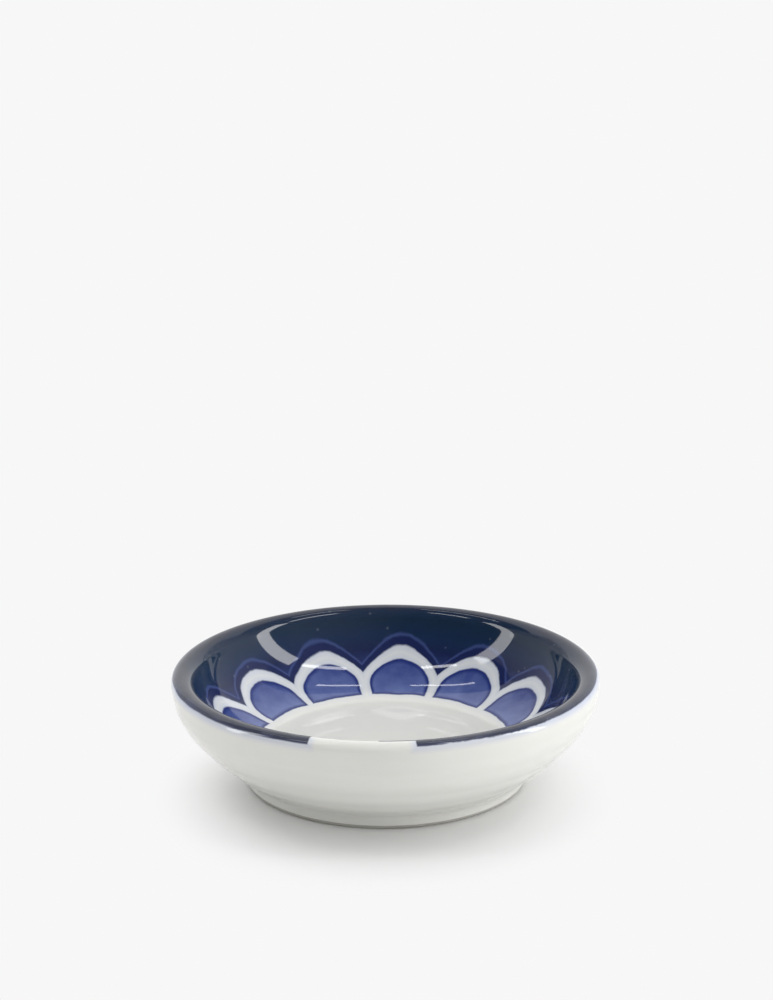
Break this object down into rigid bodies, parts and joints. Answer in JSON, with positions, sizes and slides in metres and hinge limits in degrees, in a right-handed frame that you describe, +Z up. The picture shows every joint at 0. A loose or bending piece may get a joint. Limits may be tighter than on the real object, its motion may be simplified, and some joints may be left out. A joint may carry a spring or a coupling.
{
  "type": "soy sauce dish",
  "caption": "Small round porcelain dipping dish on a foot ring, white outside, with a dark cobalt inner wall, petal border and rim line around a white well for soy sauce.",
  "frame": {"origin": "centre of the standing ring, on the table plane", "axes": "+Z up along the dish's axis; -Y is the front, toward the picture's viewer; +X to the viewer's right"},
  "size_m": [0.095, 0.095, 0.0253],
  "materials": {
    "porcelain": "matte",
    "clear_glaze": "gloss",
    "cobalt_glaze": "gloss",
    "cobalt_wash": "gloss",
    "rim_cobalt": "gloss"
  },
  "bodies": {
    "root": {"porcelain_body": "porcelain", "outer_glaze": "clear_glaze", "foot_well_glaze": "clear_glaze", "well_glaze": "clear_glaze", "rim_gap_glaze": "clear_glaze", "wall_glaze": "cobalt_glaze", "rim_line": "rim_cobalt", "petal_01": "cobalt_wash", "petal_02": "cobalt_wash", "petal_03": "cobalt_wash", "petal_04": "cobalt_wash", "petal_05": "cobalt_wash", "petal_06": "cobalt_wash", "petal_07": "cobalt_wash", "petal_08": "cobalt_wash", "petal_09": "cobalt_wash", "petal_10": "cobalt_wash", "petal_11": "cobalt_wash"}
  },
  "joints": []
}
